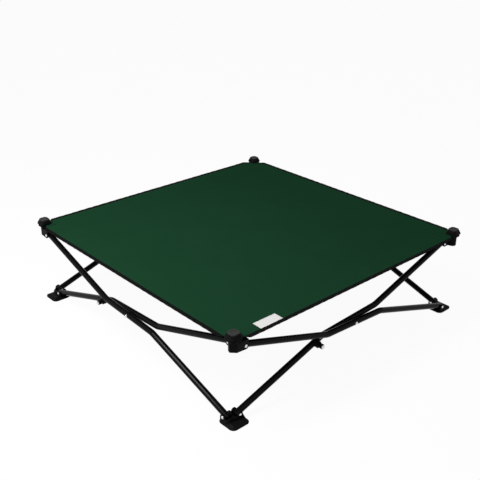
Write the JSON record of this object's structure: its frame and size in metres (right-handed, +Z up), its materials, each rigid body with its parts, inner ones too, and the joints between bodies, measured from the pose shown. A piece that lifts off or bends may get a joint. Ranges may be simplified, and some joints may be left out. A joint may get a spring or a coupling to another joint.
{
  "type": "raised dog cot",
  "caption": "Square raised dog cot: a green cloth sling with a black bound edge, clamped under corner caps on a scissor frame of bent black tubes that folds into an upright bundle.",
  "frame": {"origin": "on the floor under the middle of the sling", "axes": "+Z up; +X to the right side and +Y to the back side of the square cot"},
  "size_m": [0.8, 0.8, 0.2341],
  "materials": {
    "frame_tube": "gloss black powder coat",
    "black_plastic": "fine moulded grain",
    "bright_steel": "bright nickel plated",
    "sling_cloth": "coated plain weave, black bound edge"
  },
  "bodies": {
    "foot_back_right": {"foot_back_right": "black_plastic", "foot_rivets_back_right": "bright_steel"},
    "foot_back_left": {"foot_back_left": "black_plastic", "foot_rivets_back_left": "bright_steel"},
    "foot_front_left": {"foot_front_left": "black_plastic", "foot_rivets_front_left": "bright_steel"},
    "foot_front_right": {"foot_front_right": "black_plastic", "foot_rivets_front_right": "bright_steel"},
    "hub_back_right": {"hub_back_right": "black_plastic", "hub_rivets_back_right": "bright_steel", "hub_cap_back_right": "black_plastic", "cap_screw_back_right": "bright_steel", "sling_corner_back_right": "sling_cloth", "sling_edge_right": "sling_cloth", "sling_edge_back": "sling_cloth"},
    "hub_back_left": {"hub_back_left": "black_plastic", "hub_rivets_back_left": "bright_steel", "hub_cap_back_left": "black_plastic", "cap_screw_back_left": "bright_steel", "sling_corner_back_left": "sling_cloth"},
    "hub_front_left": {"hub_front_left": "black_plastic", "hub_rivets_front_left": "bright_steel", "hub_cap_front_left": "black_plastic", "cap_screw_front_left": "bright_steel", "sling_corner_front_left": "sling_cloth", "sling_edge_left": "sling_cloth", "sling_edge_front": "sling_cloth"},
    "hub_front_right": {"hub_front_right": "black_plastic", "hub_rivets_front_right": "bright_steel", "hub_cap_front_right": "black_plastic", "cap_screw_front_right": "bright_steel", "sling_corner_front_right": "sling_cloth"},
    "outer_right": {"outer_tube_right": "frame_tube", "centre_rivet_right": "bright_steel", "centre_spacer_right": "black_plastic"},
    "outer_back": {"outer_tube_back": "frame_tube", "centre_rivet_back": "bright_steel", "centre_spacer_back": "black_plastic"},
    "outer_left": {"outer_tube_left": "frame_tube", "centre_rivet_left": "bright_steel", "centre_spacer_left": "black_plastic"},
    "outer_front": {"outer_tube_front": "frame_tube", "centre_rivet_front": "bright_steel", "centre_spacer_front": "black_plastic"},
    "inner_right": {"inner_tube_right": "frame_tube", "stop_peg_right": "black_plastic", "peg_rivet_right": "bright_steel"},
    "inner_back": {"inner_tube_back": "frame_tube", "stop_peg_back": "black_plastic", "peg_rivet_back": "bright_steel"},
    "inner_left": {"inner_tube_left": "frame_tube", "stop_peg_left": "black_plastic", "peg_rivet_left": "bright_steel"},
    "inner_front": {"inner_tube_front": "frame_tube", "stop_peg_front": "black_plastic", "peg_rivet_front": "bright_steel"},
    "panel_right": {"sling_panel_right": "sling_cloth"},
    "panel_back": {"sling_panel_back": "sling_cloth"},
    "panel_left": {"sling_panel_left": "sling_cloth"},
    "panel_front": {"sling_panel_front": "sling_cloth"}
  },
  "joints": [
    {"name": "fold", "type": "hinge", "parent": "foot_front_right", "child": "outer_front", "pos_m": [0.357, -0.38096, 0.01496], "axis": [0, 1, 0], "range_deg": [0, 66]},
    {"name": "foot_front_right_inner_right", "type": "hinge", "parent": "foot_front_right", "child": "inner_right", "pos_m": [0.36446, -0.357, 0.01496], "axis": [1, 0, 0], "range_deg": [0, 66]},
    {"name": "hub_front_left_outer_front", "type": "hinge", "parent": "outer_front", "child": "hub_front_left", "pos_m": [-0.357, -0.38096, 0.19596], "axis": [0, -1, 0], "range_deg": [0, 66]},
    {"name": "cross_front", "type": "hinge", "parent": "outer_front", "child": "inner_front", "pos_m": [0, -0.37271, 0.10546], "axis": [0, -1, 0], "range_deg": [0, 132]},
    {"name": "hub_front_right_inner_front", "type": "hinge", "parent": "inner_front", "child": "hub_front_right", "pos_m": [0.357, -0.36446, 0.19596], "axis": [0, 1, 0], "range_deg": [0, 66]},
    {"name": "foot_front_left_inner_front", "type": "hinge", "parent": "inner_front", "child": "foot_front_left", "pos_m": [-0.357, -0.36446, 0.01496], "axis": [0, 1, 0], "range_deg": [0, 66]},
    {"name": "hub_back_right_inner_right", "type": "hinge", "parent": "inner_right", "child": "hub_back_right", "pos_m": [0.36446, 0.357, 0.19596], "axis": [-1, 0, 0], "range_deg": [0, 66]},
    {"name": "cross_right", "type": "hinge", "parent": "inner_right", "child": "outer_right", "pos_m": [0.37271, 0, 0.10546], "axis": [-1, 0, 0], "range_deg": [0, 132]},
    {"name": "foot_back_right_outer_right", "type": "hinge", "parent": "outer_right", "child": "foot_back_right", "pos_m": [0.38096, 0.357, 0.01496], "axis": [1, 0, 0], "range_deg": [0, 66]},
    {"name": "hub_front_left_inner_left", "type": "hinge", "parent": "hub_front_left", "child": "inner_left", "pos_m": [-0.36446, -0.357, 0.19596], "axis": [-1, 0, 0], "range_deg": [0, 66]},
    {"name": "cross_left", "type": "hinge", "parent": "inner_left", "child": "outer_left", "pos_m": [-0.37271, 0, 0.10546], "axis": [1, 0, 0], "range_deg": [0, 132]},
    {"name": "foot_back_left_inner_left", "type": "hinge", "parent": "inner_left", "child": "foot_back_left", "pos_m": [-0.36446, 0.357, 0.01496], "axis": [1, 0, 0], "range_deg": [0, 66]},
    {"name": "hub_back_left_outer_left", "type": "hinge", "parent": "outer_left", "child": "hub_back_left", "pos_m": [-0.38096, 0.357, 0.19596], "axis": [-1, 0, 0], "range_deg": [0, 66]},
    {"name": "hub_back_right_outer_back", "type": "hinge", "parent": "hub_back_right", "child": "outer_back", "pos_m": [0.357, 0.38096, 0.19596], "axis": [0, -1, 0], "range_deg": [0, 66]},
    {"name": "cross_back", "type": "hinge", "parent": "outer_back", "child": "inner_back", "pos_m": [0, 0.37271, 0.10546], "axis": [0, 1, 0], "range_deg": [0, 132]},
    {"name": "sling_panel_right", "type": "hinge", "parent": "hub_back_right", "child": "panel_right", "pos_m": [0.34746, 0, 0.21872], "axis": [0, -1, 0], "range_deg": [0, 81.23], "deforming": ["sling_panel_right", "sling_edge_right"]},
    {"name": "sling_panel_back", "type": "hinge", "parent": "hub_back_right", "child": "panel_back", "pos_m": [0, 0.34746, 0.21872], "axis": [1, 0, 0], "range_deg": [0, 81.23], "deforming": ["sling_panel_back", "sling_edge_back"]},
    {"name": "sling_panel_left", "type": "hinge", "parent": "hub_front_left", "child": "panel_left", "pos_m": [-0.34746, 0, 0.21872], "axis": [0, 1, 0], "range_deg": [0, 81.23], "deforming": ["sling_panel_left", "sling_edge_left"]},
    {"name": "sling_panel_front", "type": "hinge", "parent": "hub_front_left", "child": "panel_front", "pos_m": [0, -0.34746, 0.21872], "axis": [-1, 0, 0], "range_deg": [0, 81.23], "deforming": ["sling_panel_front", "sling_edge_front"]}
  ],
  "couplings": [
    {"joint": "foot_front_right_inner_right", "follows": "fold", "ratio": 1},
    {"joint": "hub_front_left_outer_front", "follows": "fold", "ratio": 1},
    {"joint": "cross_front", "follows": "fold", "ratio": 2},
    {"joint": "hub_front_right_inner_front", "follows": "fold", "ratio": 1},
    {"joint": "foot_front_left_inner_front", "follows": "fold", "ratio": 1},
    {"joint": "hub_back_right_inner_right", "follows": "fold", "ratio": 1},
    {"joint": "cross_right", "follows": "fold", "ratio": 2},
    {"joint": "foot_back_right_outer_right", "follows": "fold", "ratio": 1},
    {"joint": "hub_front_left_inner_left", "follows": "fold", "ratio": 1},
    {"joint": "cross_left", "follows": "fold", "ratio": 2},
    {"joint": "foot_back_left_inner_left", "follows": "fold", "ratio": 1},
    {"joint": "hub_back_left_outer_left", "follows": "fold", "ratio": 1},
    {"joint": "hub_back_right_outer_back", "follows": "fold", "ratio": 1},
    {"joint": "cross_back", "follows": "fold", "ratio": 2},
    {"joint": "sling_panel_right", "follows": "fold", "ratio": 1.2307},
    {"joint": "sling_panel_back", "follows": "fold", "ratio": 1.2307},
    {"joint": "sling_panel_left", "follows": "fold", "ratio": 1.2307},
    {"joint": "sling_panel_front", "follows": "fold", "ratio": 1.2307}
  ]
}
